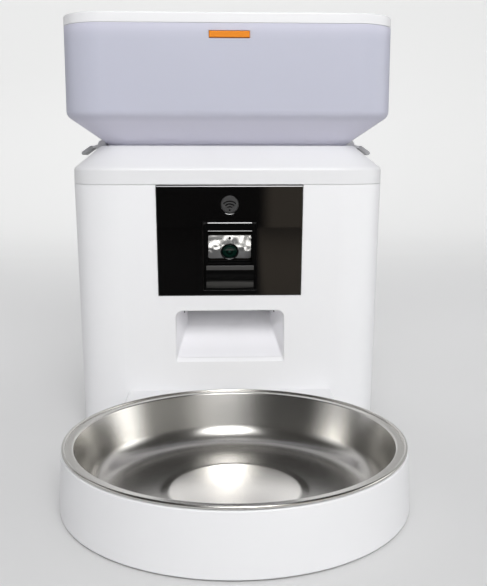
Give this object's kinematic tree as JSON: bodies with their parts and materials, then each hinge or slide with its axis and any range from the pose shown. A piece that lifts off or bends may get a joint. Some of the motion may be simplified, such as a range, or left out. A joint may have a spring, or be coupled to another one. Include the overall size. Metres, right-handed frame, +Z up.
{
  "type": "automatic pet feeder",
  "caption": "Automatic pet feeder: translucent hopper with hinged lid, camera in a black front panel, motor-driven dispensing wheel, chute, and a steel bowl in a pull-off tray.",
  "frame": {"origin": "on the floor, at the centre of the footprint's bounding box", "axes": "+Z up; the front, with the bowl, faces -Y; +X is to the right seen from the front"},
  "size_m": [0.214, 0.3802, 0.2806],
  "materials": {
    "white_shell": "smooth semi-gloss white moulding",
    "tray_plastic": "smooth satin white moulding",
    "chute_plastic": "smooth white moulding",
    "hopper_plastic": "frosted translucent lilac-grey moulding",
    "panel_black": "polished black",
    "drum_black": "mirror-polished black",
    "button_grey": "dark grey with a printed symbol",
    "lens_glass": "coated dark green glass",
    "lens_barrel": "matt black",
    "key_orange": "smooth orange moulding",
    "latch_grey": "fine-textured grey",
    "bowl_steel": "satin spun stainless steel",
    "pin_steel": "bright drawn steel",
    "screw_steel": "zinc plated",
    "contact_steel": "nickel plated",
    "motor_steel": "plated can",
    "wheel_plastic": "grey moulding",
    "stirrer_rubber": "soft food-grade rubber",
    "gear_plastic": "acetal",
    "pinion_brass": "turned brass",
    "box_plastic": "black moulding",
    "board_green": "green solder mask",
    "speaker_black": "black frame and cone",
    "socket_black": "black",
    "foot_rubber": "grey rubber",
    "seal_silicone": "translucent white silicone",
    "sensor_black": "infrared window",
    "bag_paper": "non-woven bag"
  },
  "bodies": {
    "housing": {"body_shell": "white_shell", "base_plate": "white_shell", "battery_contacts": "contact_steel", "body_feet": "foot_rubber", "top_cover": "white_shell", "latch_pins": "pin_steel", "front_panel": "panel_black", "button_board": "board_green", "camera_bezel": "panel_black", "rotor_well": "chute_plastic", "port_guard": "chute_plastic", "chute": "chute_plastic", "outlet_sensors": "sensor_black", "gearbox_tub": "box_plastic", "gearbox_cover": "box_plastic", "motor": "motor_steel", "main_board": "board_green", "speaker": "speaker_black", "power_socket": "socket_black", "case_screws": "screw_steel", "gearbox_screws": "screw_steel", "board_screws": "screw_steel"},
    "battery_door": {"battery_cover": "white_shell"},
    "left_latch": {"left_latch": "latch_grey"},
    "right_latch": {"right_latch": "latch_grey"},
    "feed_button": {"feed_button": "button_grey"},
    "camera": {"camera_drum": "drum_black", "camera_lens": "lens_glass", "lens_ring": "lens_barrel", "camera_module": "lens_barrel"},
    "dispenser_wheel": {"rotor_wheel": "wheel_plastic", "stirrer": "stirrer_rubber", "drive_shaft": "pin_steel", "drive_gear": "gear_plastic"},
    "motor_spindle": {"motor_pinion": "pinion_brass", "motor_shaft": "pin_steel"},
    "hopper": {"hopper": "hopper_plastic", "hinge_pins": "pin_steel", "key_spring": "pin_steel"},
    "lid": {"lid": "white_shell", "lid_seal": "seal_silicone", "desiccant_case": "white_shell", "desiccant_bag": "bag_paper"},
    "lid_key": {"lid_key": "key_orange"},
    "tray": {"tray": "tray_plastic", "tray_feet": "foot_rubber"},
    "bowl": {"bowl": "bowl_steel"}
  },
  "joints": [
    {"name": "hopper_lift", "type": "slide", "parent": "housing", "child": "hopper", "axis": [0, 0, 1], "range_m": [0, 0.06]},
    {"name": "lid_hinge", "type": "hinge", "parent": "hopper", "child": "lid", "pos_m": [0, 0.18705, 0.2755], "axis": [-1, 0, 0], "range_deg": [0, 95]},
    {"name": "lid_key_press", "type": "slide", "parent": "hopper", "child": "lid_key", "axis": [0, 1, 0], "range_m": [0, 0.0025], "stiffness_N_per_m": 400},
    {"name": "left_latch_press", "type": "hinge", "parent": "housing", "child": "left_latch", "pos_m": [-0.091, 0.09255, 0.198], "axis": [0, -1, 0], "range_deg": [0, 10], "stiffness_Nm_per_rad": 0.05},
    {"name": "right_latch_press", "type": "hinge", "parent": "housing", "child": "right_latch", "pos_m": [0.091, 0.09255, 0.198], "axis": [0, 1, 0], "range_deg": [0, 10], "stiffness_Nm_per_rad": 0.05},
    {"name": "feed_button_press", "type": "slide", "parent": "housing", "child": "feed_button", "axis": [0, 1, 0], "range_m": [0, 0.0008], "stiffness_N_per_m": 500},
    {"name": "camera_tilt", "type": "hinge", "parent": "housing", "child": "camera", "pos_m": [0, 0.01605, 0.1318], "axis": [1, 0, 0], "range_deg": [-15, 15]},
    {"name": "wheel_spin", "type": "hinge", "parent": "housing", "child": "dispenser_wheel", "pos_m": [0, 0.08655, 0.1152], "axis": [0, 0, 1], "continuous": true},
    {"name": "motor_spin", "type": "hinge", "parent": "housing", "child": "motor_spindle", "pos_m": [0, 0.11355, 0.087], "axis": [0, 0, 1], "continuous": true},
    {"name": "tray_pull", "type": "slide", "parent": "housing", "child": "tray", "axis": [0, -1, 0], "range_m": [0, 0.04]},
    {"name": "bowl_lift", "type": "slide", "parent": "tray", "child": "bowl", "axis": [0, 0, 1], "range_m": [0, 0.045]},
    {"name": "battery_door_drop", "type": "slide", "parent": "housing", "child": "battery_door", "axis": [0, 0, -1], "range_m": [0, 0.02]}
  ],
  "couplings": [
    {"joint": "motor_spin", "follows": "wheel_spin", "ratio": -2.8571}
  ]
}
